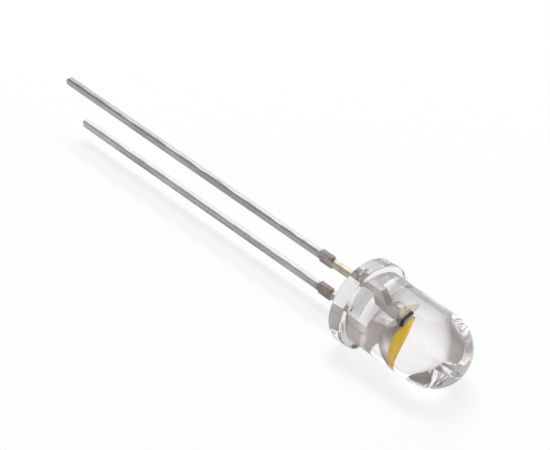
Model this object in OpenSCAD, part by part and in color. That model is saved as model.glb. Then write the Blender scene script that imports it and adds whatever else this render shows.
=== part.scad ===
// Clear 5 mm round LED with a phosphor-filled reflector cup, lying on the flat of its flange.
// Millimetres. X runs along the lens axis towards the dome, Z is up, and the origin is the
// middle of the flange's rear face, where the axis crosses the seating plane.

/* [Lens] */
// Diameter of the lens barrel and of its dome
lens_d = 5; // [4.8:0.05:6.2]
// Height of the whole lens from the seating plane to the tip of the dome
lens_h = 8.7; // [7.2:0.05:12]
// Diameter of the flange
flange_d = 5.9; // [5.3:0.05:7.4]
// Thickness of the flange
flange_t = 1.05; // [0.5:0.05:1.3]
// Distance from the axis to the flat cut on the cathode side of the flange
flat_to_axis = 2.5; // [2.4:0.05:2.9]
// Height that the epoxy creeps up each lead behind the flange
creep_h = 0.3; // [0.1:0.05:0.8]
// Radius of the creep where it leaves the flange
creep_r = 0.5; // [0.4:0.05:0.6]

/* [Leads] */
// Distance between the centres of the two leads
lead_pitch = 2.54; // [2.5:0.01:3.1]
// Width of a lead, measured in the plane of the pair
lead_w = 0.5; // [0.4:0.05:0.6]
// Thickness of the strip that both leads are stamped from
strip_t = 0.4; // [0.3:0.05:0.5]
// Length of the anode lead behind the flange
anode_l = 28.5; // [10:0.1:36]
// Length of the cathode lead behind the flange
cathode_l = 26.8; // [8:0.1:34]
// Distance from the flange to the cut tie bar stubs
stub_gap = 2.7; // [1:0.1:4]
// Length of a tie bar stub along its lead
stub_l = 1.1; // [0.6:0.1:2]
// How far a stub stands out on each side of its lead
stub_out = 0.15; // [0.05:0.05:0.4]

/* [Flags inside the lens] */
// Height above the seating plane where both leads widen into their flags
flag_x = 1.75; // [1.4:0.05:2]
// Length of the slope that widens the anode
flag_slope = 0.45; // [0.2:0.05:0.8]
// Width of the slot between the two flags, where it starts
slot_w = 0.85; // [0.5:0.05:1]
// Width of the slot where it reaches the cup
slot_end_w = 0.55; // [0.4:0.05:0.7]
// Size of the corner cut off the cathode's flag, beside the slot
corner_cut = 0.25; // [0.1:0.05:0.3]
// Length of the slope that leads into the notch in the outer edge of each flag
notch_run = 0.8; // [0.4:0.05:0.9]
// Height of the anode's notch above the seating plane
anode_notch_x = 2.7; // [2.5:0.05:2.8]
// Depth of the anode's notch
anode_notch = 0.77; // [0.4:0.01:0.85]
// Height of the cathode's notch above the seating plane
cathode_notch_x = 2.95; // [2.8:0.05:3.05]
// Depth of the cathode's notch
cathode_notch = 0.5; // [0.2:0.02:0.52]

/* [Anode's coined head] */
// Distance from the axis to the shoulder between the anode's notch and its head
shoulder_z = 1.22; // [1.1:0.02:1.3]
// Length of the slope from the notch up to the shoulder
shoulder_run = 0.5; // [0.3:0.05:0.6]
// Length over which the strip swells to the head's thickness
swell_l = 0.26; // [0.15:0.01:0.35]
// Length of the coined head
head_l = 0.46; // [0.3:0.02:0.5]
// Thickness of the coined head
head_t = 0.65; // [0.55:0.05:0.9]
// Width of the coined head, measured in the plane of the pair
head_w = 0.48; // [0.3:0.02:0.6]
// How far the wire pad on the head's end stands above the rim of the cup
pad_rise = 0.18; // [0.05:0.01:0.25]
// Gap, filled with epoxy, between the head and the rim of the cup
head_gap = 0.06; // [0.06:0.01:0.15]

/* [Reflector cup] */
// Height of the cup's rim above the seating plane
cup_x = 4.2; // [4.1:0.05:4.5]
// Distance from the axis to the centre of the cup, towards the cathode lead
cup_off = 0.68; // [0.5:0.02:0.7]
// Diameter of the cup's mouth
cup_mouth_d = 1.76; // [1.46:0.02:1.8]
// Diameter of the cup's floor
cup_floor_d = 0.8; // [0.7:0.05:0.9]
// Depth of the cup
cup_depth = 0.45; // [0.3:0.05:0.6]
// Width of the cup's rim
cup_rim_w = 0.06; // [0.05:0.01:0.12]
// Outer diameter of the cup at its foot
cup_foot_d = 1.2; // [1:0.05:1.4]
// Height of the cup from its foot to its rim
cup_h = 0.85; // [0.6:0.05:0.95]
// Length of the neck that swells from the flag to the foot of the cup
neck_l = 0.4; // [0.2:0.05:0.6]

/* [Chip and phosphor] */
// Side of the square chip
chip_w = 0.36; // [0.2:0.02:0.4]
// Thickness of the chip
chip_t = 0.14; // [0.08:0.01:0.2]
// Thickness of the die attach glue under the chip
glue_t = 0.02; // [0.01:0.01:0.04]
// How far the glue shows round the chip
glue_out = 0.03; // [0.02:0.01:0.05]
// Height that the phosphor bulges over the cup's rim
bulge_h = 0.18; // [0.05:0.01:0.25]

/* [Bond wires] */
// Diameter of the gold wires
wire_d = 0.03; // [0.02:0.005:0.04]
// Diameter of the flattened bond at each end of a wire
bond_d = 0.08; // [0.06:0.01:0.09]
// Thickness of those bonds
bond_t = 0.02; // [0.01:0.005:0.03]
// Distance from the middle of the chip to its two wire pads, each way
chip_pad = 0.1; // [0.05:0.01:0.12]
// Straight rise of each wire above the higher of its two bonds, before its first bend
wire_rise = 0.05; // [0.03:0.01:0.1]
// Radius of the bends of the anode wire
anode_bend = 0.12; // [0.06:0.01:0.2]
// Radius of the bends of the cathode wire
cathode_bend = 0.08; // [0.04:0.01:0.09]

/* [Hidden] */
$fn = 96;
barrel_r = lens_d / 2;
flange_r = flange_d / 2;
dome_x = lens_h - barrel_r;
lead_z = lead_pitch / 2;
lead_in = lead_z - lead_w / 2;
lead_out = lead_z + lead_w / 2;
cup_z = -cup_off;
mouth_r = cup_mouth_d / 2;
rim_r = mouth_r + cup_rim_w;
foot_x = cup_x - cup_h;
foot_r = cup_foot_d / 2;
floor_x = cup_x - cup_depth;
chip_x = floor_x + glue_t;
chip_top = chip_x + chip_t;
glue_w = chip_w + 2 * glue_out;
// the cathode wire is bonded midway between the glue and the edge of the cup's floor
floor_bond = (glue_w + cup_floor_d) / 4;
pad_x = cup_x + pad_rise;
head_x = pad_x - head_l;
swell_x = head_x - swell_l;
head_low = cup_z + rim_r + head_gap;
head_high = head_low + head_w;
// the flags run past the foot of the cup by this much, so that they join it
overlap = 0.1;
// a cutting block stands out past what it cuts by this much
cut = 1;
// radius of the creep where it thins out on its lead
creep_top_r = (lead_w + strip_t) / 3;

// a straight stretch of strip along X, from x0 to x1, centred on z
module strip(x0, x1, z, w) {
    translate([x0, -strip_t / 2, z - w / 2]) cube([x1 - x0, strip_t, w]);
}

// an outline of X and Z points, stamped through metal of thickness t
module stamped(outline, t) {
    rotate([90, 0, 0]) linear_extrude(height = t, center = true) polygon(outline);
}

// a round or tapered length along X, from x0 to x1
module turned(x0, x1, r0, r1) {
    translate([x0, 0, 0]) rotate([0, 90, 0]) cylinder(h = x1 - x0, r1 = r0, r2 = r1);
}

// a lead's tail with its cut tie bar stub, reaching into the lens as far as its flag
module tail(z, tail_l) {
    strip(-tail_l, flag_x, z, lead_w);
    strip(-stub_gap - stub_l, -stub_gap, z, lead_w + 2 * stub_out);
}

// the cast outline of the lens, before anything is set in it
module lens_body() {
    difference() {
        turned(0, flange_t, flange_r, flange_r);
        translate([-cut, -flange_d, -flat_to_axis - flange_d])
            cube([flange_t + 2 * cut, 2 * flange_d, flange_d]);
    }
    turned(0, dome_x, barrel_r, barrel_r);
    translate([dome_x, 0, 0]) sphere(r = barrel_r);
    for (side = [-1, 1])
        translate([0, 0, side * lead_z]) turned(-creep_h, 0, creep_top_r, creep_r);
}

module epoxy_lens() {
    color([0.9, 0.93, 0.96, 0.4]) difference() {
        lens_body();
        cathode_lead();
        anode_lead();
        phosphor_fill();
        led_chip();
        die_attach();
        anode_wire();
        cathode_wire();
    }
}

module cup_blank() {
    translate([0, 0, cup_z]) {
        turned(foot_x - neck_l, foot_x, strip_t / 2, foot_r);
        turned(foot_x, cup_x, foot_r, rim_r);
    }
}

module cup_hollow() {
    translate([0, 0, cup_z]) turned(floor_x, cup_x, cup_floor_d / 2, mouth_r);
}

module cathode_lead() {
    color([0.66, 0.65, 0.63]) difference() {
        union() {
            tail(-lead_z, cathode_l);
            stamped([
                [flag_x - lead_w, -lead_out],
                [flag_x - lead_w, -lead_in],
                [flag_x, -lead_in],
                [flag_x, -slot_w / 2 - corner_cut],
                [flag_x + corner_cut, -slot_w / 2],
                [foot_x, -slot_end_w / 2],
                [floor_x - overlap, cup_z],
                [floor_x - overlap, cup_z - foot_r],
                [foot_x, cup_z - foot_r],
                [cathode_notch_x, cathode_notch - lead_out],
                [cathode_notch_x - notch_run, -lead_out]
            ], strip_t);
            cup_blank();
        }
        cup_hollow();
    }
}

module anode_lead() {
    color([0.66, 0.65, 0.63]) {
        tail(lead_z, anode_l);
        // the flag and head in outline, as thick as the strip and then swelling to the head
        intersection() {
            stamped([
                [flag_x - lead_w, lead_out],
                [flag_x - lead_w, lead_in],
                [flag_x - flag_slope, lead_in],
                [flag_x, slot_w / 2],
                [foot_x - overlap, slot_end_w / 2],
                [swell_x, head_low],
                [pad_x, head_low],
                [pad_x, head_high],
                [head_x, head_high],
                [swell_x, shoulder_z],
                [anode_notch_x + shoulder_run, shoulder_z],
                [anode_notch_x, lead_out - anode_notch],
                [anode_notch_x - notch_run, lead_out]
            ], head_t);
            linear_extrude(height = lead_out) polygon([
                [flag_x - lead_w, -strip_t / 2],
                [swell_x, -strip_t / 2],
                [head_x, -head_t / 2],
                [pad_x, -head_t / 2],
                [pad_x, head_t / 2],
                [head_x, head_t / 2],
                [swell_x, strip_t / 2],
                [flag_x - lead_w, strip_t / 2]
            ]);
        }
    }
}

module led_chip() {
    color([0.75, 0.8, 0.85]) translate([chip_x, -chip_w / 2, cup_z - chip_w / 2])
        cube([chip_t, chip_w, chip_w]);
}

module die_attach() {
    color([0.6, 0.6, 0.62]) translate([floor_x, -glue_w / 2, cup_z - glue_w / 2])
        cube([glue_t, glue_w, glue_w]);
}

module phosphor_fill() {
    // the bulge is a cap cut from a large sphere, which meets the edge of the mouth
    bulge_r = (mouth_r * mouth_r + bulge_h * bulge_h) / (2 * bulge_h);
    color([0.83, 0.67, 0.2]) difference() {
        union() {
            cup_hollow();
            translate([cup_x, 0, cup_z]) rotate([0, 90, 0]) rotate_extrude() intersection() {
                translate([0, bulge_h - bulge_r]) circle(r = bulge_r, $fn = 720);
                square([mouth_r, bulge_h]);
            }
        }
        led_chip();
        die_attach();
        anode_wire();
        cathode_wire();
    }
}

// a flat-topped bond wire in the plane of y, up from x0, z0, across, and down to x1, z1
module bond_wire(y, x0, z0, x1, z1, bend) {
    side = sign(z1 - z0);
    bend_x = max(x0, x1) + wire_rise;
    translate([0, y, 0]) {
        for (end = [[x0, z0], [x1, z1]]) translate([0, 0, end[1]]) {
            turned(end[0], end[0] + bond_t, bond_d / 2, bond_d / 2);
            turned(end[0], bend_x, wire_d / 2, wire_d / 2);
        }
        for (end = [[z0, side], [z1, -side]]) translate([bend_x, 0, end[0] + end[1] * bend])
            rotate([90, 0, 0]) rotate([0, 0, end[1] > 0 ? -90 : 0]) rotate_extrude(angle = 90)
                translate([bend, 0]) circle(r = wire_d / 2);
        translate([bend_x + bend, 0, min(z0, z1) + bend])
            cylinder(h = abs(z1 - z0) - 2 * bend, r = wire_d / 2);
    }
}

module anode_wire() {
    color("gold") bond_wire(chip_pad, chip_top, cup_z + chip_pad, pad_x, (head_low + head_high) / 2,
                            anode_bend);
}

module cathode_wire() {
    color("gold") bond_wire(-chip_pad, chip_top, cup_z - chip_pad, floor_x, cup_z - floor_bond,
                            cathode_bend);
}

epoxy_lens();
cathode_lead();
anode_lead();
led_chip();
die_attach();
phosphor_fill();
anode_wire();
cathode_wire();
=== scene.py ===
import math

import bmesh
import bpy
from mathutils import Matrix, Vector


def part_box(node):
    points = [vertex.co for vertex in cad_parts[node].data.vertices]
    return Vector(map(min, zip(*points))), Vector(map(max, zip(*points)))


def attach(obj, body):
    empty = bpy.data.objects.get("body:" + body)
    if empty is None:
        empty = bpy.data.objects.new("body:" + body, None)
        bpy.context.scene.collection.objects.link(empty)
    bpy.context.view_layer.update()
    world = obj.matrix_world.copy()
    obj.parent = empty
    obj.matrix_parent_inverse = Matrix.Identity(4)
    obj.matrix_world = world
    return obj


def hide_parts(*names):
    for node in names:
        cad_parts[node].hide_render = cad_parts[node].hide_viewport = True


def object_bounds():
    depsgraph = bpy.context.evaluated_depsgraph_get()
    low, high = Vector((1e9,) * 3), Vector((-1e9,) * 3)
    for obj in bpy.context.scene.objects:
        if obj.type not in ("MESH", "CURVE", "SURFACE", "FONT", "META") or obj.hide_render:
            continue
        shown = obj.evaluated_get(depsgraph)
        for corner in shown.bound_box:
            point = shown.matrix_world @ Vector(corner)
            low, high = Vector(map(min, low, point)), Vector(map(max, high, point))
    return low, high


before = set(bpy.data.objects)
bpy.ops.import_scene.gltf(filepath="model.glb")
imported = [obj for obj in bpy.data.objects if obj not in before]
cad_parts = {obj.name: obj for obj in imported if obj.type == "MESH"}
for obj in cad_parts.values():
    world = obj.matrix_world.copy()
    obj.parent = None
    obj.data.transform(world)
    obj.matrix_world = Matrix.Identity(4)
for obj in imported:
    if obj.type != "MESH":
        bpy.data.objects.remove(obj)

cad_low, cad_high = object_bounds()

# ---- Cathode lead -------------------------------------------------------------------------------
# The shorter lead. It is stamped from mild steel strip, dull tin plated, and its head is coined into
# the round reflector cup that carries the chip. The tie bar that joined it to the anode is cut away
# and leaves a stub on each lead.

# Sizes are in millimetres, and MM turns them into metres.
MM = 0.001
STRIP_T = 0.4
LEAD_W = 0.5
LEAD_Z = 1.27
LEAD_IN = LEAD_Z - LEAD_W / 2
LEAD_OUT = LEAD_Z + LEAD_W / 2
STUB_OUT = 0.15
STUB_NEAR = -2.7
STUB_FAR = STUB_NEAR - 1.1
SHEARED_EDGE = 0.05
SHEARED_ANGLE = 30
SNAP = 0.001
CATHODE_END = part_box("cathode_lead")[0].x / MM
FLAG_X = 1.75
SLOT_W = 0.85
SLOT_END_W = 0.55
CORNER = 0.25
NOTCH_RUN = 0.8
CATHODE_NOTCH_X = 2.95
CATHODE_NOTCH = 0.5
CUP_X = 4.2
CUP_Z = -0.68
MOUTH_R = 0.88
RIM_R = 0.94
CUP_FLOOR_X = CUP_X - 0.45
CUP_FLOOR_R = 0.4
CUP_FOOT_X = CUP_X - 0.85
CUP_FOOT_R = 0.6
NECK_X = CUP_FOOT_X - 0.4
CUP_WAIST_X = CUP_X - 0.3
CUP_WAIST_R = 0.81
RIM_EDGE = 0.02
OVERLAP = 0.1


def merge(data):
    """Makes one vertex of those that lie on the same spot, so that the mesh is closed."""
    mesh = bmesh.new()
    mesh.from_mesh(data)
    bmesh.ops.remove_doubles(mesh, verts=mesh.verts, dist=SNAP * MM)
    mesh.to_mesh(data)
    mesh.free()


def piece_from(mesh, name):
    """A new object that holds the bmesh."""
    data = bpy.data.meshes.new(name)
    mesh.to_mesh(data)
    mesh.free()
    piece = bpy.data.objects.new(name, data)
    bpy.context.scene.collection.objects.link(piece)
    return piece


def blank(name, outline, swell=None, rings=()):
    """A blank cut from strip to an outline of X and Z points, its sheared edges slightly worn.

    swell gives the X where coining starts to thicken it, the X where it ends, and the thickness there.
    rings are further X places where its faces are divided.
    """
    mesh = bmesh.new()
    front = mesh.faces.new([mesh.verts.new((x * MM, -STRIP_T / 2 * MM, z * MM)) for x, z in outline])
    pushed = bmesh.ops.extrude_face_region(mesh, geom=[front])
    back = [part for part in pushed["geom"] if isinstance(part, bmesh.types.BMVert)]
    bmesh.ops.translate(mesh, verts=back, vec=(0, STRIP_T * MM, 0))
    bmesh.ops.recalc_face_normals(mesh, faces=mesh.faces)
    for x in rings + (swell[:2] if swell else ()):
        everything = mesh.verts[:] + mesh.edges[:] + mesh.faces[:]
        bmesh.ops.bisect_plane(mesh, geom=everything, dist=SNAP * MM,
                               plane_co=(x * MM, 0, 0), plane_no=(1, 0, 0))
    if swell:
        start, end, thickness = swell
        for vertex in mesh.verts:
            if vertex.co.x / MM > end - SNAP:
                vertex.co.y *= thickness / STRIP_T
    corners = [edge for edge in mesh.edges if edge.calc_face_angle() > math.radians(SHEARED_ANGLE)]
    bmesh.ops.bevel(mesh, geom=corners, offset=SHEARED_EDGE * MM, segments=4, profile=0.5,
                    affect="EDGES", clamp_overlap=False)
    piece = piece_from(mesh, name)
    merge(piece.data)
    return piece


def turned(name, profile, centre_z=0.0, steps=160):
    """A closed round form about a line along X, from X and radius pairs that start and end at radius 0."""
    mesh = bmesh.new()
    rings = []
    for x, radius in profile:
        count = steps if radius else 1
        rings.append([mesh.verts.new((x * MM, radius * MM * math.sin(math.tau * k / count),
                                      (centre_z - radius * math.cos(math.tau * k / count)) * MM))
                      for k in range(count)])
    for ring, following in zip(rings, rings[1:]):
        for k in range(steps):
            corners = [ring[k % len(ring)], ring[(k + 1) % len(ring)],
                       following[(k + 1) % len(following)], following[k % len(following)]]
            mesh.faces.new(list(dict.fromkeys(corners)))
    bmesh.ops.recalc_face_normals(mesh, faces=mesh.faces)
    return piece_from(mesh, name)


def fuse(piece, other):
    """Joins other to piece, so that one closed solid is left."""
    tool = piece.modifiers.new("fuse", "BOOLEAN")
    tool.solver = "EXACT"
    tool.operation = "UNION"
    tool.object = other
    shape = piece.evaluated_get(bpy.context.evaluated_depsgraph_get())
    joined = bpy.data.meshes.new_from_object(shape)
    piece.modifiers.clear()
    piece.data = joined
    merge(piece.data)
    bpy.data.objects.remove(other)


def shade(piece, angle):
    """Smooth shading with creases where faces meet at more than the angle."""
    piece.data.polygons.foreach_set("use_smooth", [True] * len(piece.data.polygons))
    piece.data.set_sharp_from_angle(angle=math.radians(angle))


def material(name):
    """A new node material and its Principled shader."""
    finish = bpy.data.materials.new(name)
    finish.use_nodes = True
    return finish, finish.node_tree, finish.node_tree.nodes["Principled BSDF"]


def noise(tree, scale, detail=4.0, stretch=(1, 1, 1)):
    """A noise texture in object space whose scale is in features a metre."""
    place = tree.nodes.new("ShaderNodeTexCoord")
    spread = tree.nodes.new("ShaderNodeMapping")
    texture = tree.nodes.new("ShaderNodeTexNoise")
    spread.inputs["Scale"].default_value = stretch
    texture.inputs["Scale"].default_value = scale
    texture.inputs["Detail"].default_value = detail
    tree.links.new(place.outputs["Object"], spread.inputs["Vector"])
    tree.links.new(spread.outputs["Vector"], texture.inputs["Vector"])
    return texture.outputs["Fac"]


def ramp(tree, value, stops):
    """A colour ramp over a value, from position and colour pairs."""
    node = tree.nodes.new("ShaderNodeValToRGB")
    elements = node.color_ramp.elements
    while len(elements) < len(stops):
        elements.new(0.5)
    for element, (position, colour) in zip(elements, stops):
        element.position = position
        element.color = (*colour, 1)
    tree.links.new(value, node.inputs["Fac"])
    return node.outputs["Color"]


def spread_over(tree, value, low, high):
    """Maps a value from 0..1 to low..high."""
    node = tree.nodes.new("ShaderNodeMapRange")
    node.inputs["To Min"].default_value = low
    node.inputs["To Max"].default_value = high
    tree.links.new(value, node.inputs["Value"])
    return node.outputs["Result"]


def bump(tree, shader, height, distance, strength=1.0, below=None):
    """Surface relief whose full depth is the distance, in metres, over other relief if there is any."""
    node = tree.nodes.new("ShaderNodeBump")
    node.inputs["Strength"].default_value = strength
    node.inputs["Distance"].default_value = distance
    tree.links.new(height, node.inputs["Height"])
    if below:
        tree.links.new(below, node.inputs["Normal"])
    tree.links.new(node.outputs["Normal"], shader.inputs["Normal"])
    return node.outputs["Normal"]


def along_x(tree, start, full, end, gone):
    """A mask that rises from start to full and falls from end to gone, all X places in millimetres."""
    place = tree.nodes.new("ShaderNodeTexCoord")
    split = tree.nodes.new("ShaderNodeSeparateXYZ")
    tree.links.new(place.outputs["Object"], split.inputs["Vector"])
    sides = []
    for low, high, from_value, to_value in ((start, full, 0, 1), (end, gone, 1, 0)):
        side = tree.nodes.new("ShaderNodeMapRange")
        side.inputs["From Min"].default_value = low * MM
        side.inputs["From Max"].default_value = high * MM
        side.inputs["To Min"].default_value = from_value
        side.inputs["To Max"].default_value = to_value
        tree.links.new(split.outputs["X"], side.inputs["Value"])
        sides.append(side.outputs["Result"])
    both = tree.nodes.new("ShaderNodeMath")
    both.operation = "MULTIPLY"
    tree.links.new(sides[0], both.inputs[0])
    tree.links.new(sides[1], both.inputs[1])
    return both.outputs["Value"]


def mixed(tree, amount, first, second):
    """One colour over another, by an amount from 0 to 1."""
    node = tree.nodes.new("ShaderNodeMix")
    node.data_type = "RGBA"
    tree.links.new(amount, node.inputs["Factor"])
    for socket, colour in ((node.inputs["A"], first), (node.inputs["B"], second)):
        if isinstance(colour, tuple):
            socket.default_value = (*colour, 1)
        else:
            tree.links.new(colour, socket)
    return node.outputs["Result"]


def times(tree, value, other):
    """The product of two values."""
    node = tree.nodes.new("ShaderNodeMath")
    node.operation = "MULTIPLY"
    for socket, part in zip(node.inputs, (value, other)):
        if isinstance(part, float):
            socket.default_value = part
        else:
            tree.links.new(part, socket)
    return node.outputs["Value"]


def facing(tree, coordinate):
    """1 on faces that look the way a coordinate grows, such as up for Z, and 0 on the others."""
    surface = tree.nodes.new("ShaderNodeNewGeometry")
    split = tree.nodes.new("ShaderNodeSeparateXYZ")
    step = tree.nodes.new("ShaderNodeMapRange")
    step.inputs["From Min"].default_value = 0.3
    step.inputs["From Max"].default_value = 0.9
    tree.links.new(surface.outputs["Normal"], split.inputs["Vector"])
    tree.links.new(split.outputs[coordinate], step.inputs["Value"])
    return step.outputs["Result"]


def within(tree, coordinate, place, near, far):
    """1 within near of a place along an object coordinate, in millimetres, and 0 beyond far of it.

    near and far may be values of the tree, so that the border can wander.
    """
    texture = tree.nodes.new("ShaderNodeTexCoord")
    split = tree.nodes.new("ShaderNodeSeparateXYZ")
    tree.links.new(texture.outputs["Object"], split.inputs["Vector"])
    away = tree.nodes.new("ShaderNodeMath")
    away.operation = "SUBTRACT"
    away.inputs[1].default_value = place * MM
    tree.links.new(split.outputs[coordinate], away.inputs[0])
    length = tree.nodes.new("ShaderNodeMath")
    length.operation = "ABSOLUTE"
    tree.links.new(away.outputs["Value"], length.inputs[0])
    fade = tree.nodes.new("ShaderNodeMapRange")
    fade.interpolation_type = "SMOOTHSTEP"
    fade.inputs["To Min"].default_value = 1
    fade.inputs["To Max"].default_value = 0
    tree.links.new(length.outputs["Value"], fade.inputs["Value"])
    tree.links.new(near, fade.inputs["From Min"])
    tree.links.new(far, fade.inputs["From Max"])
    return fade.outputs["Result"]


def dimmed(colour, share):
    """A share of a colour."""
    return tuple(part * share for part in colour)


def tinned_finish(name, top, grey):
    """Dull tin over rolled steel: long rolling lines, cloudy grey, olive flux stain by the lens.

    grey is the tin's tone on this lead, chosen per lead as painted light and shade. top is the Z of the
    lead's upper cut edge.
    Painted shade: faces that look up get a fixed grey of their own, and along the front corner a band with a
    wandering border is painted darker, on the front and still more on top.
    """
    finish, tree, shader = material(name)
    shader.inputs["Metallic"].default_value = 1.0
    clouds = noise(tree, 900, stretch=(0.35, 1, 1))
    lines = noise(tree, 9000, detail=3.0, stretch=(0.02, 1, 1))
    blotches = noise(tree, 2200, detail=2.0)
    tin = ramp(tree, clouds, [(0.3, dimmed(grey, 0.8)), (0.7, dimmed(grey, 1.2))])
    stain = times(tree, along_x(tree, -3.0, -2.3, -0.2, 0.2), spread_over(tree, clouds, 0.6, 1.0))
    olive = ramp(tree, blotches, [(0.35, (0.34, 0.335, 0.22)), (0.6, (0.50, 0.43, 0.35))])
    worn = times(tree, along_x(tree, STUB_FAR - 0.35, STUB_FAR, STUB_NEAR, STUB_NEAR + 0.2), 0.85)
    brown = ramp(tree, blotches, [(0.38, (0.23, 0.185, 0.17)), (0.62, (0.37, 0.33, 0.31))])
    # Painted shade: a fixed grey on faces that look up, and a darker band along the front corner whose
    # border wanders.
    wander = noise(tree, 700, detail=3.0, stretch=(1, 0.2, 0.2))
    upper = ramp(tree, clouds, [(0.3, (0.40, 0.39, 0.385)), (0.7, (0.48, 0.465, 0.455))])
    near = spread_over(tree, wander, -0.15 * MM, 0.27 * MM)
    far = spread_over(tree, wander, -0.03 * MM, 0.39 * MM)
    on_top = mixed(tree, within(tree, "Y", -STRIP_T / 2, near, far), upper, dimmed(grey, 0.48))
    on_front = mixed(tree, within(tree, "Z", top, near, far), tin, dimmed(grey, 0.85))
    tail_tone = mixed(tree, facing(tree, "Z"), on_front, on_top)
    tree.links.new(mixed(tree, worn, mixed(tree, stain, tail_tone, olive), brown),
                   shader.inputs["Base Color"])
    tree.links.new(spread_over(tree, clouds, 0.22, 0.42), shader.inputs["Roughness"])
    rolled = bump(tree, shader, lines, 0.000004, 0.5)
    bump(tree, shader, noise(tree, 1500, stretch=(0.5, 1, 1)), 0.00002, 0.6, rolled)
    return finish


def sheared_finish():
    """Bare steel where the press has cut through the strip, dragged and browned."""
    finish, tree, shader = material("sheared_steel")
    shader.inputs["Metallic"].default_value = 1.0
    drag = noise(tree, 14000, stretch=(1, 0.1, 1))
    brown = ramp(tree, drag, [(0.3, (0.20, 0.165, 0.15)), (0.7, (0.33, 0.29, 0.27))])
    tree.links.new(brown, shader.inputs["Base Color"])
    tree.links.new(spread_over(tree, drag, 0.4, 0.6), shader.inputs["Roughness"])
    bump(tree, shader, drag, 0.000008, 0.8)
    return finish


def silver_finish(name, back, upper):
    """Matt silver plate on the length inside the lens, which the tin bath never reached.

    It is brightest on the neck, just inside the flange. back is a painted tone for the back of the strip,
    and upper a painted shade for the cut edges that face up.
    """
    finish, tree, shader = material(name)
    shader.inputs["Metallic"].default_value = 0.8
    clouds = noise(tree, 1800, detail=3.0, stretch=(0.6, 1, 1))
    silver = ramp(tree, clouds, [(0.3, (0.62, 0.565, 0.535)), (0.7, (0.72, 0.665, 0.63))])
    neck = along_x(tree, 0.2, 0.5, 1.5, 2.0)
    front = mixed(tree, neck, silver, (0.78, 0.73, 0.70))
    # Painted shade: the back of the strip and the faces that look up get tones of their own.
    sides = mixed(tree, facing(tree, "Y"), front, back)
    tree.links.new(mixed(tree, facing(tree, "Z"), sides, upper), shader.inputs["Base Color"])
    tree.links.new(spread_over(tree, clouds, 0.32, 0.45), shader.inputs["Roughness"])
    bump(tree, shader, noise(tree, 5000, stretch=(0.3, 1, 1)), 0.000006, 0.5)
    return finish


SHEARED = sheared_finish()


def add_finish(piece, finish):
    """Adds a finish to the piece and gives back its number there."""
    piece.data.materials.append(finish)
    return len(piece.data.materials) - 1


def plate(piece, tinned, silvered):
    """Tin outside the lens and silver inside it, and bare steel on the cut ends of the stubs and lead."""
    add_finish(piece, tinned)
    cut = add_finish(piece, SHEARED)
    inside = add_finish(piece, silvered)
    tip = min(vertex.co.x for vertex in piece.data.vertices) / MM
    for face in piece.data.polygons:
        x, y, z = face.center / MM
        on_stub = STUB_FAR <= x <= STUB_NEAR and abs(face.normal.z) > 0.7
        at_tip = face.normal.x < -0.7 and x - tip < SHEARED_EDGE
        if (on_stub and abs(abs(z) - LEAD_Z) > LEAD_W / 2 + STUB_OUT / 2) or at_tip:
            face.material_index = cut
        elif x > 0:
            face.material_index = inside


def tail(end, side, nose):
    """The outline of a lead from its flag to its tip and back, stub and all, on its side of the axis.

    nose is how far the corners of the tip are rounded off.
    """
    points = []
    for edge, sign in ((LEAD_OUT, 1), (LEAD_IN, -1)):
        bulge = edge + sign * STUB_OUT
        steps = [(STUB_NEAR, edge), (STUB_NEAR, bulge), (STUB_FAR, bulge), (STUB_FAR, edge),
                 (end + nose, edge), (end + nose * 0.3, edge - sign * nose * 0.3), (end, edge - sign * nose)]
        points += steps if sign > 0 else steps[::-1]
    return [(x, side * z) for x, z in points]


cathode = blank("cathode_lead_tinned", tail(CATHODE_END, -1, 0.06) + [
    (FLAG_X, -LEAD_IN),
    (FLAG_X, -SLOT_W / 2 - CORNER),
    (FLAG_X + CORNER, -SLOT_W / 2),
    (CUP_FOOT_X, -SLOT_END_W / 2),
    (CUP_FLOOR_X - OVERLAP, CUP_Z),
    (CUP_FLOOR_X - OVERLAP, CUP_Z - CUP_FOOT_R),
    (CUP_FOOT_X, CUP_Z - CUP_FOOT_R),
    (CATHODE_NOTCH_X, CATHODE_NOTCH - LEAD_OUT),
    (CATHODE_NOTCH_X - NOTCH_RUN, -LEAD_OUT),
], rings=(0.0,))
cup = turned("cup", [
    (NECK_X, 0), (NECK_X, STRIP_T / 2), (CUP_FOOT_X, CUP_FOOT_R),
    (CUP_WAIST_X, CUP_WAIST_R), (CUP_X - RIM_EDGE, RIM_R), (CUP_X, RIM_R - RIM_EDGE),
    (CUP_X, MOUTH_R + RIM_EDGE), (CUP_X - RIM_EDGE, MOUTH_R),
    (CUP_FLOOR_X, CUP_FLOOR_R), (CUP_FLOOR_X, 0),
], CUP_Z)
fuse(cathode, cup)
# Painted light: the short lead's tin and silver tones are set lighter than the long lead's.
plate(cathode, tinned_finish("tinned_strip", -LEAD_IN, (0.56, 0.54, 0.53)),
      silver_finish("silver_plate", (0.64, 0.60, 0.575), (0.48, 0.45, 0.43)))
shade(cathode, 35)
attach(cathode, "root")
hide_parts("cathode_lead")

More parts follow.
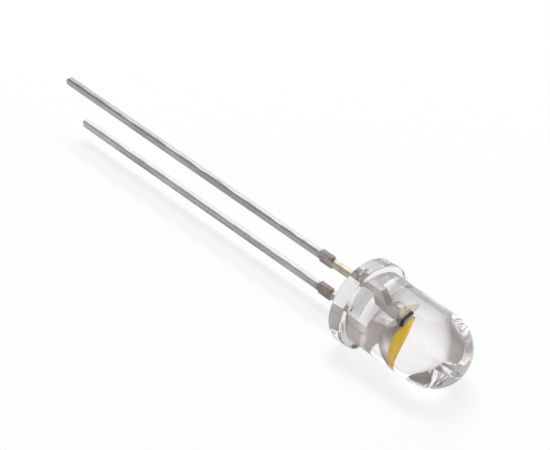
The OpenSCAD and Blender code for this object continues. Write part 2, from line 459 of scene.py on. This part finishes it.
# ---- Anode lead ---------------------------------------------------------------------------------
# The longer lead, from the same tinned strip. Its head is coined thicker than the strip, which squeezes
# a thin fin out beside the cup, and its end is the pad that takes the bond wire.
ANODE_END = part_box("anode_lead")[0].x / MM
FLAG_SLOPE = 0.45
ANODE_NOTCH_X = 2.7
ANODE_NOTCH = 0.77
SHOULDER_Z = 1.22
SHOULDER_RUN = 0.5
PAD_X = CUP_X + 0.18
HEAD_X = PAD_X - 0.46
SWELL_X = HEAD_X - 0.26
HEAD_T = 0.65
BAND_X = PAD_X - 0.28
HEAD_LOW = CUP_Z + RIM_R + 0.06
HEAD_HIGH = HEAD_LOW + 0.48
FIN_T = 0.06
FIN_TIP = Vector((4.16, 0.77, 0.87)) * MM
FIN_ROOT_TOP = Vector((SWELL_X, 0.05, SHOULDER_Z - 0.02)) * MM
FIN_ROOT_LOW = Vector((HEAD_X, 0.1, HEAD_HIGH - 0.03)) * MM
FIN_MIDDLE = (FIN_ROOT_TOP + FIN_ROOT_LOW) / 2
FIN_OUT = FIN_TIP - FIN_MIDDLE
FIN_UP = FIN_ROOT_TOP - FIN_ROOT_LOW
FIN_SIDE = FIN_OUT.cross(FIN_UP).normalized()


def coined_fin(name):
    """The fin of metal that coining squeezes out of the head, a blade that narrows to its tip.

    Its outline is in shares of its reach out from the root and of the root's height.
    """
    outline = [(0, 0.5), (0.25, 0.48), (0.5, 0.38), (0.75, 0.22), (0.95, 0.08), (1, 0), (0.97, -0.12),
               (0.85, -0.4), (0.68, -0.75), (0.5, -0.95), (0.25, -1.0), (0, -0.8)]
    half = FIN_SIDE * FIN_T / 2 * MM
    mesh = bmesh.new()
    front = mesh.faces.new([mesh.verts.new(FIN_MIDDLE + FIN_OUT * out + FIN_UP * up - half)
                            for out, up in outline])
    pushed = bmesh.ops.extrude_face_region(mesh, geom=[front])
    back = [part for part in pushed["geom"] if isinstance(part, bmesh.types.BMVert)]
    bmesh.ops.translate(mesh, verts=back, vec=half * 2)
    bmesh.ops.recalc_face_normals(mesh, faces=mesh.faces)
    return piece_from(mesh, name)


def head_finish(name, tone, rough, relief=0.00001):
    """A finish of the coined head, streaked by the die. relief is the streaks' depth in metres."""
    finish, tree, shader = material(name)
    streaks = noise(tree, 9000, stretch=(1, 0.3, 0.3))
    tree.links.new(ramp(tree, streaks, [(0.35, dimmed(tone, 0.7)), (0.65, tone)]),
                   shader.inputs["Base Color"])
    shader.inputs["Metallic"].default_value = 1.0
    tree.links.new(spread_over(tree, streaks, rough - 0.08, rough + 0.1), shader.inputs["Roughness"])
    bump(tree, shader, streaks, relief, 0.6)
    return finish


def finish_head(piece):
    """Its own finish on each part of the coined head and on the fin, all painted light and shade:
    cream painted light on the slope's upward faces and the fin's sides, olive painted shade on the
    other faces, brown painted shade on the upward faces past the slope, a near-black painted shadow
    on the end band, and a lavender painted reflection on the pad's end face.
    """
    # Painted light, shade, shadow and reflection, one finish each, picked by where a face lies and which way
    # it faces.
    cream = add_finish(piece, head_finish("head_cream_painted_light", (0.92, 0.88, 0.70), 0.4))
    olive = add_finish(piece, head_finish("head_olive_painted_shade", (0.42, 0.40, 0.27), 0.4))
    dark = add_finish(piece, head_finish("head_painted_shadow", (0.03, 0.024, 0.028), 0.35))
    pad = add_finish(piece, head_finish("head_pad_painted_reflection", (0.36, 0.36, 0.45), 0.3, 0.000004))
    brown = add_finish(piece, head_finish("head_brown_painted_shade", (0.25, 0.235, 0.18), 0.4))
    for face in piece.data.polygons:
        x, y, z = face.center / MM
        looks_up = face.normal.z > 0.3
        if x < SWELL_X:
            continue
        if y > HEAD_T / 2 + 2 * SNAP:
            face.material_index = cream if abs(face.normal.dot(FIN_SIDE)) > 0.9 else olive
        elif face.normal.x > 0.8 and x > PAD_X - SHEARED_EDGE:
            face.material_index = pad
        elif x > BAND_X:
            face.material_index = dark
        elif x > HEAD_X:
            face.material_index = brown if looks_up else olive
        else:
            face.material_index = cream if looks_up else olive


anode = blank("anode_lead_tinned", tail(ANODE_END, 1, 0.2) + [
    (FLAG_X - FLAG_SLOPE, LEAD_IN),
    (FLAG_X, SLOT_W / 2),
    (CUP_FOOT_X - OVERLAP, SLOT_END_W / 2),
    (SWELL_X, HEAD_LOW),
    (PAD_X, HEAD_LOW),
    (PAD_X, HEAD_HIGH),
    (HEAD_X, HEAD_HIGH),
    (SWELL_X, SHOULDER_Z),
    (ANODE_NOTCH_X + SHOULDER_RUN, SHOULDER_Z),
    (ANODE_NOTCH_X, LEAD_OUT - ANODE_NOTCH),
    (ANODE_NOTCH_X - NOTCH_RUN, LEAD_OUT),
], swell=(SWELL_X, HEAD_X, HEAD_T), rings=(0.0, BAND_X))
fuse(anode, coined_fin("fin"))
# Painted shade: the long lead's tin and silver tones are set darker than the short lead's, and its upward
# edges darker still.
plate(anode, tinned_finish("tinned_strip_long_shaded", LEAD_OUT, (0.38, 0.37, 0.365)),
      silver_finish("silver_plate_long_shaded", (0.32, 0.30, 0.285), (0.34, 0.32, 0.30)))
finish_head(anode)
shade(anode, 35)
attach(anode, "root")
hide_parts("anode_lead")

# ---- Phosphor -----------------------------------------------------------------------------------
# Yellow phosphor powder stirred into silicone and dripped into the cup over the chip. It cures with
# a high domed top and a sandy, uneven surface, and a faint painted glow brightens it.
BULGE = 0.42
BULGE_R = (MOUTH_R ** 2 + BULGE ** 2) / (2 * BULGE)
BULGE_ANGLE = math.asin(MOUTH_R / BULGE_R)
BULGE_RINGS = 40
profile = [(CUP_FLOOR_X, 0), (CUP_FLOOR_X, CUP_FLOOR_R), (CUP_X, MOUTH_R)]
for ring in range(1, BULGE_RINGS):
    angle = BULGE_ANGLE * (1 - ring / BULGE_RINGS)
    profile.append((CUP_X + BULGE - BULGE_R * (1 - math.cos(angle)), BULGE_R * math.sin(angle)))
profile.append((CUP_X + BULGE, 0))
phosphor = turned("phosphor_dome", profile, CUP_Z)
finish, tree, shader = material("phosphor")
grains = noise(tree, 30000, detail=2.0)
cloud = noise(tree, 1400, detail=3.0)
yellow = ramp(tree, cloud, [(0.3, (0.90, 0.55, 0.004)), (0.7, (0.98, 0.59, 0.008))])
speckled = mixed(tree, spread_over(tree, grains, 0.0, 0.35), yellow, (0.84, 0.62, 0.03))
tree.links.new(speckled, shader.inputs["Base Color"])
tree.links.new(spread_over(tree, grains, 0.55, 0.8), shader.inputs["Roughness"])
shader.inputs["Subsurface Weight"].default_value = 0.2
shader.inputs["Subsurface Scale"].default_value = 0.0001
shader.inputs["Subsurface Radius"].default_value = (1.0, 0.7, 0.2)
# Painted glow: a faint emission lifts the phosphor's brightness.
shader.inputs["Emission Color"].default_value = (1.0, 0.66, 0.0, 1)
shader.inputs["Emission Strength"].default_value = 0.16
bump(tree, shader, grains, 0.00001, 0.6)
phosphor.data.materials.append(finish)
shade(phosphor, 30)
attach(phosphor, "root")
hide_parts("phosphor_fill")

# ---- Chip and its glue --------------------------------------------------------------------------
# The light-emitting chip is a sawn block of sapphire with a thin blue-violet layer. A dab of
# silver-filled paste holds it to the floor of the cup, under the phosphor.
finish, tree, shader = material("sawn_sapphire")
saw = noise(tree, 40000, detail=2.0, stretch=(0.1, 1, 1))
tree.links.new(ramp(tree, saw, [(0.35, (0.30, 0.33, 0.52)), (0.65, (0.42, 0.45, 0.62))]),
               shader.inputs["Base Color"])
tree.links.new(spread_over(tree, saw, 0.12, 0.35), shader.inputs["Roughness"])
bump(tree, shader, saw, 0.000001, 0.6)
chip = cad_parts["led_chip"]
chip.data.materials.clear()
chip.data.materials.append(finish)

finish, tree, shader = material("silver_paste")
flakes = noise(tree, 60000, detail=3.0)
tree.links.new(ramp(tree, flakes, [(0.35, (0.48, 0.47, 0.45)), (0.65, (0.70, 0.69, 0.67))]),
               shader.inputs["Base Color"])
shader.inputs["Metallic"].default_value = 0.6
tree.links.new(spread_over(tree, flakes, 0.35, 0.6), shader.inputs["Roughness"])
bump(tree, shader, flakes, 0.000002, 0.8)
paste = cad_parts["die_attach"]
paste.data.materials.clear()
paste.data.materials.append(finish)

# ---- Bond wires ---------------------------------------------------------------------------------
# Two hair-thin gold wires from the top of the chip, one to the anode's pad and one to the rim of the
# cup. Each is welded down at both ends in a squashed foot.
finish, tree, shader = material("drawn_gold")
drawn = noise(tree, 50000, detail=2.0, stretch=(0.2, 1, 1))
tree.links.new(ramp(tree, drawn, [(0.35, (0.86, 0.55, 0.20)), (0.65, (0.96, 0.66, 0.28))]),
               shader.inputs["Base Color"])
shader.inputs["Metallic"].default_value = 1.0
tree.links.new(spread_over(tree, drawn, 0.15, 0.3), shader.inputs["Roughness"])
bump(tree, shader, drawn, 0.0000008, 0.5)
for name in ("anode_wire", "cathode_wire"):
    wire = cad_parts[name]
    wire.data.materials.clear()
    wire.data.materials.append(finish)

# ---- Epoxy lens ---------------------------------------------------------------------------------
# Clear epoxy, poured round the lead frame in a polished mould: barrel, dome and flange in one. The
# flange is flat on the cathode side. The poured face behind it creeps up each lead.
LENS_R = 2.5
FLANGE_R = 2.945
FLANGE_T = 1.05
FLAT = 2.5
DOME_X = 6.195
MOULD_EDGE = 0.09
JUNCTION = 0.05
CREEP_H = 0.3
CREEP_R = 0.5
BACK_R = 2.4
BACK_RINGS = 48
BARREL_RINGS = 12
DOME_RINGS = 90
DOME_END = 0.8
LENS_STEPS = 288
REFRACTION = 1.53


def arc(centre_x, centre_r, radius, first, last, count):
    """X and radius pairs along an arc, from the first angle to the last, in degrees."""
    points = []
    for k in range(count + 1):
        angle = math.radians(first + (last - first) * k / count)
        points.append((centre_x + radius * math.cos(angle), centre_r + radius * math.sin(angle)))
    return points


barrel_x = FLANGE_T + JUNCTION
profile = [(0.0, BACK_R * k / BACK_RINGS) for k in range(BACK_RINGS + 1)]
profile += arc(MOULD_EDGE, FLANGE_R - MOULD_EDGE, MOULD_EDGE, 180, 90, 6)
profile += arc(FLANGE_T - MOULD_EDGE, FLANGE_R - MOULD_EDGE, MOULD_EDGE, 90, 0, 6)
profile += arc(barrel_x, LENS_R + JUNCTION, JUNCTION, 180, 270, 5)
profile += [(barrel_x + (DOME_X - barrel_x) * k / BARREL_RINGS, LENS_R) for k in range(1, BARREL_RINGS)]
profile += arc(DOME_X, 0, LENS_R, 90, DOME_END, DOME_RINGS)
profile.append((DOME_X + LENS_R, 0.0))
lens = turned("clear_lens", profile, steps=LENS_STEPS)
for vertex in lens.data.vertices:
    x, y, z = vertex.co / MM
    if z < -FLAT and math.hypot(y, z) > LENS_R:
        vertex.co.y *= -FLAT / z
        vertex.co.z = -FLAT * MM
    if x == 0:
        gap = math.hypot(max(abs(y) - STRIP_T / 2, 0), max(abs(abs(z) - LEAD_Z) - LEAD_W / 2, 0))
        climb = max(1 - gap / (CREEP_R - LEAD_W / 2), 0)
        vertex.co.x = -CREEP_H * climb ** 2 * MM
merge(lens.data)
finish, tree, shader = material("clear_epoxy")
shader.inputs["Base Color"].default_value = (0.95, 0.937, 0.95, 1)
shader.inputs["Transmission Weight"].default_value = 1.0
shader.inputs["IOR"].default_value = REFRACTION
wear = noise(tree, 2600, detail=3.0, stretch=(0.35, 1, 1))
scuffs = ramp(tree, wear, [(0.6, (0, 0, 0)), (0.72, (1, 1, 1))])
tree.links.new(spread_over(tree, scuffs, 0.0, 0.05), shader.inputs["Roughness"])
bump(tree, shader, noise(tree, 500, detail=1.0), 0.000012, 0.5)
lens.data.materials.append(finish)
shade(lens, 40)
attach(lens, "root")
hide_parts("epoxy_lens")

# ---- Floor, light and camera --------------------------------------------------------------------
# A plain white table in a white studio, which grows darker towards the front of the room. A broad soft
# lamp stands behind the leads, and a long one hangs over them and lights the table. An even fill is
# the only other light.
FLOOR_Z = cad_low.z
TABLE = 0.5
WHITE = (0.93, 0.93, 0.93, 1)
FILL = 0.2
ROOM_FRONT = 0.3
ROOM_BACK = 1.0


def seen(tree, by_camera, by_mirror):
    """How much of a glow the camera sees, and how much metal and the lens show; none lights a surface."""
    path = tree.nodes.new("ShaderNodeLightPath")
    either = tree.nodes.new("ShaderNodeMath")
    either.operation = "MAXIMUM"
    tree.links.new(path.outputs["Is Glossy Ray"], either.inputs[0])
    tree.links.new(path.outputs["Is Transmission Ray"], either.inputs[1])
    total = tree.nodes.new("ShaderNodeMath")
    total.operation = "MULTIPLY_ADD"
    total.inputs[1].default_value = by_camera
    tree.links.new(path.outputs["Is Camera Ray"], total.inputs[0])
    tree.links.new(times(tree, either.outputs["Value"], by_mirror), total.inputs[2])
    return total.outputs["Value"]


corners = [(-TABLE, -TABLE), (TABLE, -TABLE), (TABLE, TABLE), (-TABLE, TABLE)]
data = bpy.data.meshes.new("table")
data.from_pydata([(x, y, FLOOR_Z) for x, y in corners], [], [(0, 1, 2, 3)])
floor = bpy.data.objects.new("table", data)
bpy.context.scene.collection.objects.link(floor)
finish, tree, shader = material("table_white")
shader.inputs["Base Color"].default_value = WHITE
shader.inputs["Roughness"].default_value = 0.9
shader.inputs["Specular IOR Level"].default_value = 0.0
glow = tree.nodes.new("ShaderNodeEmission")
glow.inputs["Strength"].default_value = 1.0
blend = tree.nodes.new("ShaderNodeMixShader")
tree.links.new(seen(tree, 0.8, 0.05), blend.inputs["Fac"])
tree.links.new(shader.outputs["BSDF"], blend.inputs[1])
tree.links.new(glow.outputs["Emission"], blend.inputs[2])
tree.links.new(blend.outputs["Shader"], tree.nodes["Material Output"].inputs["Surface"])
data.materials.append(finish)

studio = bpy.data.worlds.new("studio")
studio.use_nodes = True
tree = studio.node_tree
backdrop = tree.nodes["Background"]
backdrop.inputs["Color"].default_value = (1, 1, 1, 1)
place = tree.nodes.new("ShaderNodeTexCoord")
split = tree.nodes.new("ShaderNodeSeparateXYZ")
tree.links.new(place.outputs["Generated"], split.inputs["Vector"])
room = tree.nodes.new("ShaderNodeMapRange")
room.inputs["From Min"].default_value = -0.1
room.inputs["From Max"].default_value = 0.7
room.inputs["To Min"].default_value = ROOM_FRONT
room.inputs["To Max"].default_value = ROOM_BACK
tree.links.new(split.outputs["Y"], room.inputs["Value"])
tree.links.new(spread_over(tree, seen(tree, 1.0, room.outputs["Result"]), FILL, 1.0),
               backdrop.inputs["Strength"])
bpy.context.scene.world = studio


def softbox(name, place, power, width, depth):
    """A rectangular soft lamp that faces the part. Sizes are in metres, power in watts."""
    lamp = bpy.data.lights.new(name, "AREA")
    lamp.shape = "RECTANGLE"
    lamp.size = width
    lamp.size_y = depth
    lamp.energy = power
    holder = bpy.data.objects.new(name, lamp)
    holder.location = place
    holder.rotation_euler = (-Vector(place)).to_track_quat("-Z", "Y").to_euler()
    bpy.context.scene.collection.objects.link(holder)
    return holder


softbox("key", (-0.21, 0.236, 0.244), 0.41, 0.3, 0.3)

# The lamp over the leads lies along them and tips only towards the part's own line.
TOP_BACK = 0.12
TOP_HEIGHT = 0.4
top = softbox("top", (-0.12, TOP_BACK, TOP_HEIGHT), 1.5, 0.35, 0.13)
top.rotation_euler = (-math.atan2(TOP_BACK, TOP_HEIGHT), 0, 0)
top.visible_glossy = False

VIEW_ROUND = -43.33
VIEW_UP = 37.62
VIEW_ROLL = 1.74
VIEW_FROM = 0.21889
VIEW_LENS = 225.6
VIEW_FILM = 36
AIM = Vector((-0.00912, 0.00096, 0.0))
back = Vector((math.cos(math.radians(VIEW_UP)) * math.cos(math.radians(VIEW_ROUND)),
               math.cos(math.radians(VIEW_UP)) * math.sin(math.radians(VIEW_ROUND)),
               math.sin(math.radians(VIEW_UP))))
camera_data = bpy.data.cameras.new("camera")
camera_data.lens = VIEW_LENS
camera_data.sensor_width = VIEW_FILM
camera_data.clip_start = 0.01
camera = bpy.data.objects.new("camera", camera_data)
camera.matrix_world = (Matrix.Translation(AIM + back * VIEW_FROM)
                       @ (-back).to_track_quat("-Z", "Y").to_matrix().to_4x4()
                       @ Matrix.Rotation(math.radians(VIEW_ROLL), 4, "Z"))
bpy.context.scene.collection.objects.link(camera)
bpy.context.scene.camera = camera
bpy.context.scene.view_settings.view_transform = "Standard"

# Light is turned back many times inside the lens before it leaves, so its path is followed far.
bpy.context.scene.cycles.max_bounces = 32
bpy.context.scene.cycles.glossy_bounces = 24
bpy.context.scene.cycles.transmission_bounces = 32
